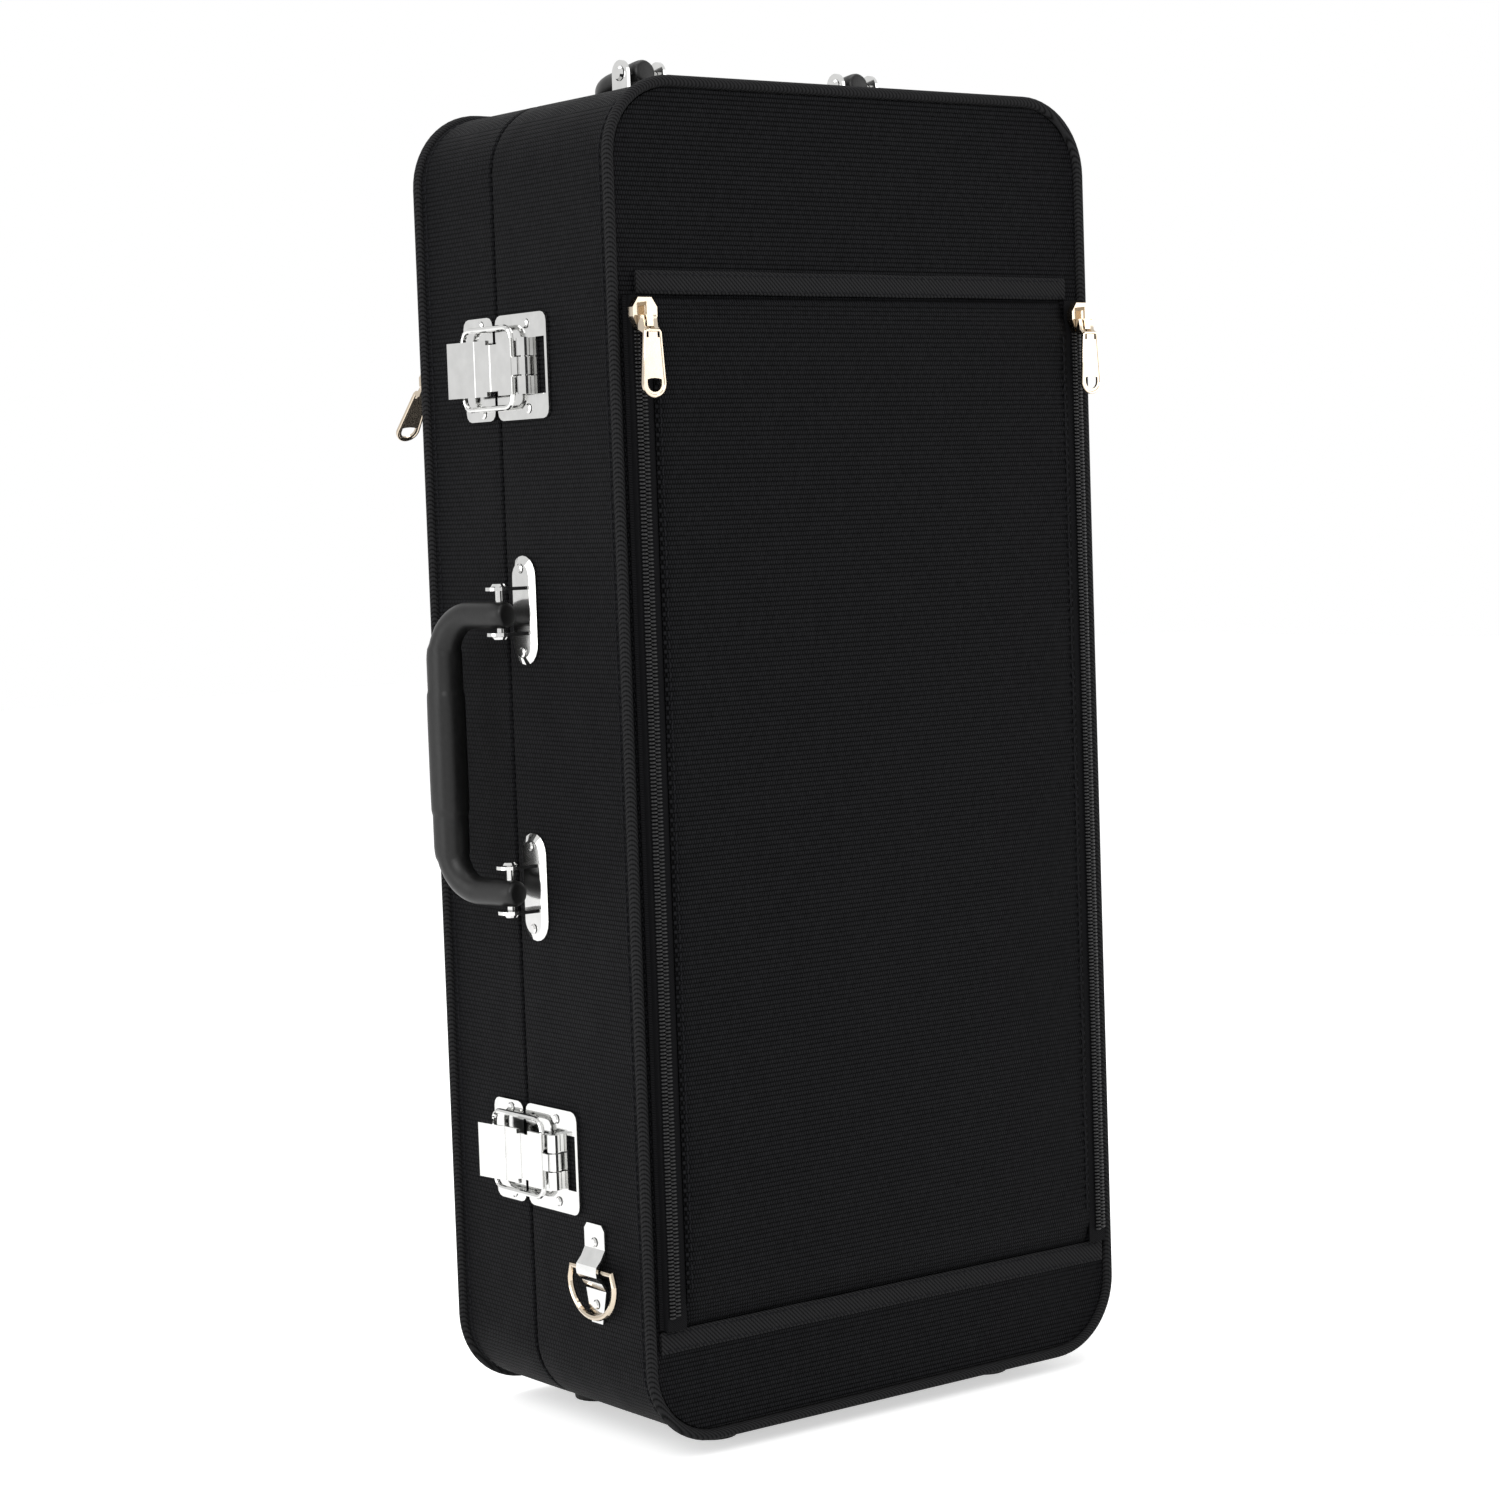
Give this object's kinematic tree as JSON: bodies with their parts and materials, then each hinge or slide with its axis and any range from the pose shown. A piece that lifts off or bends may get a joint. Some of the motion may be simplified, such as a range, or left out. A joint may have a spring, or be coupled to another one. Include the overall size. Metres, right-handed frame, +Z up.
{
  "type": "trumpet backpack case",
  "caption": "Upright black fabric trumpet case with side latches, folding handles, zipped pockets, strap rings, feet and a foam-lined body under a hinged lid.",
  "frame": {"origin": "middle of the underside of the case's bounding box, on the floor", "axes": "+Z up, front pocket towards -Y, latches towards -X, hinge towards +X"},
  "size_m": [0.293, 0.1998, 0.5993],
  "materials": {
    "black_nylon": "coarse woven black nylon",
    "twill_tape": "black twill tape",
    "zip_tape": "black zip tape and nylon coil",
    "chrome": "polished",
    "nickel": "polished light nickel",
    "handle_plastic": "satin black",
    "plush": "soft black plush over foam",
    "foot_rubber": "matte black"
  },
  "bodies": {
    "case_body": {"body_piping": "twill_tape", "body_shell": "black_nylon", "foam_insert": "plush", "foot_front_left": "foot_rubber", "foot_front_right": "foot_rubber", "front_pocket_panel": "black_nylon", "hinge_leaf_body": "chrome", "hinge_pin": "chrome", "latch_pin_lower": "chrome", "latch_pin_upper": "chrome", "latch_plate_lower": "chrome", "latch_plate_upper": "chrome", "latch_rivets_lower": "chrome", "latch_rivets_upper": "chrome", "opening_lip": "twill_tape", "pocket_bottom_tape": "twill_tape", "pocket_top_tape": "twill_tape", "side_handle_backing_plate": "chrome", "side_handle_bracket_a": "chrome", "side_handle_bracket_b": "chrome", "side_handle_pin_a": "chrome", "side_handle_pin_b": "chrome", "strap_tab_left": "chrome", "strap_tab_right": "chrome", "strap_tab_rivets_left": "chrome", "strap_tab_rivets_right": "chrome", "top_handle_backing_plate": "chrome", "top_handle_bracket_a": "chrome", "top_handle_bracket_b": "chrome", "top_handle_pin_a": "chrome", "top_handle_pin_b": "chrome", "zip_left": "zip_tape", "zip_right": "zip_tape"},
    "lid": {"lid_shell": "black_nylon", "lid_piping": "twill_tape", "lid_pad": "plush", "back_pocket_panel": "black_nylon", "back_zip": "zip_tape", "keeper_lower": "chrome", "keeper_upper": "chrome", "keeper_rivets_lower": "chrome", "keeper_rivets_upper": "chrome", "hinge_leaf_lid": "chrome", "foot_back_left": "foot_rubber", "foot_back_right": "foot_rubber"},
    "accessory_lid": {"accessory_lid": "plush"},
    "side_handle": {"side_handle_grip": "handle_plastic"},
    "top_handle": {"top_handle_grip": "handle_plastic"},
    "left_ring": {"d_ring_left": "nickel"},
    "right_ring": {"d_ring_right": "nickel"},
    "left_slider": {"left_zip_slider": "nickel"},
    "right_slider": {"right_zip_slider": "nickel"},
    "back_slider": {"back_zip_slider": "nickel"},
    "left_puller": {"left_zip_puller": "nickel"},
    "right_puller": {"right_zip_puller": "nickel"},
    "back_puller": {"back_zip_puller": "nickel"},
    "lever_lower": {"latch_lever_lower": "chrome"},
    "lever_upper": {"latch_lever_upper": "chrome"},
    "bail_lower": {"latch_bail_lower": "chrome"},
    "bail_upper": {"latch_bail_upper": "chrome"}
  },
  "joints": [
    {"name": "lid_hinge", "type": "hinge", "parent": "case_body", "child": "lid", "pos_m": [0.14292, 0.00437, 0.295], "axis": [0, 0, -1], "range_deg": [0, 165]},
    {"name": "accessory_lid_hinge", "type": "hinge", "parent": "case_body", "child": "accessory_lid", "pos_m": [-0.09873, 0.00007, 0.43], "axis": [0, 0, 1], "range_deg": [0, 90]},
    {"name": "side_handle_pivot", "type": "hinge", "parent": "case_body", "child": "side_handle", "pos_m": [-0.13298, -0.01013, 0.3005], "axis": [0, 0, 1], "range_deg": [-15, 155]},
    {"name": "top_handle_pivot", "type": "hinge", "parent": "case_body", "child": "top_handle", "pos_m": [0.01027, -0.01013, 0.5935], "axis": [1, 0, 0], "range_deg": [0, 195]},
    {"name": "left_ring_pivot", "type": "hinge", "parent": "case_body", "child": "left_ring", "pos_m": [-0.12288, -0.04663, 0.0805], "axis": [0, 1, 0], "range_deg": [0, 150]},
    {"name": "right_ring_pivot", "type": "hinge", "parent": "case_body", "child": "right_ring", "pos_m": [0.14342, -0.04663, 0.0805], "axis": [0, -1, 0], "range_deg": [0, 150]},
    {"name": "left_slider_travel", "type": "slide", "parent": "case_body", "child": "left_slider", "axis": [0, 0, -1], "range_m": [0, 0.4]},
    {"name": "left_puller_pivot", "type": "hinge", "parent": "left_slider", "child": "left_puller", "pos_m": [-0.11073, -0.09578, 0.4818], "axis": [-1, 0, 0], "range_deg": [0, 105]},
    {"name": "right_slider_travel", "type": "slide", "parent": "case_body", "child": "right_slider", "axis": [0, 0, -1], "range_m": [0, 0.4]},
    {"name": "right_puller_pivot", "type": "hinge", "parent": "right_slider", "child": "right_puller", "pos_m": [0.13127, -0.09578, 0.4818], "axis": [-1, 0, 0], "range_deg": [0, 105]},
    {"name": "back_slider_travel", "type": "slide", "parent": "lid", "child": "back_slider", "axis": [0, 0, -1], "range_m": [0, 0.385]},
    {"name": "back_puller_pivot", "type": "hinge", "parent": "back_slider", "child": "back_puller", "pos_m": [-0.11073, 0.07552, 0.4618], "axis": [1, 0, 0], "range_deg": [-35, 60]},
    {"name": "latch_lever_pivot_lower", "type": "hinge", "parent": "case_body", "child": "lever_lower", "pos_m": [-0.12408, -0.02283, 0.124], "axis": [0, 0, 1], "range_deg": [0, 120]},
    {"name": "latch_bail_pivot_lower", "type": "hinge", "parent": "lever_lower", "child": "bail_lower", "pos_m": [-0.12418, -0.01383, 0.124], "axis": [0, 0, 1], "range_deg": [0, 4]},
    {"name": "latch_lever_pivot_upper", "type": "hinge", "parent": "case_body", "child": "lever_upper", "pos_m": [-0.12408, -0.02283, 0.466], "axis": [0, 0, 1], "range_deg": [0, 120]},
    {"name": "latch_bail_pivot_upper", "type": "hinge", "parent": "lever_upper", "child": "bail_upper", "pos_m": [-0.12418, -0.01383, 0.466], "axis": [0, 0, 1], "range_deg": [0, 4]}
  ]
}
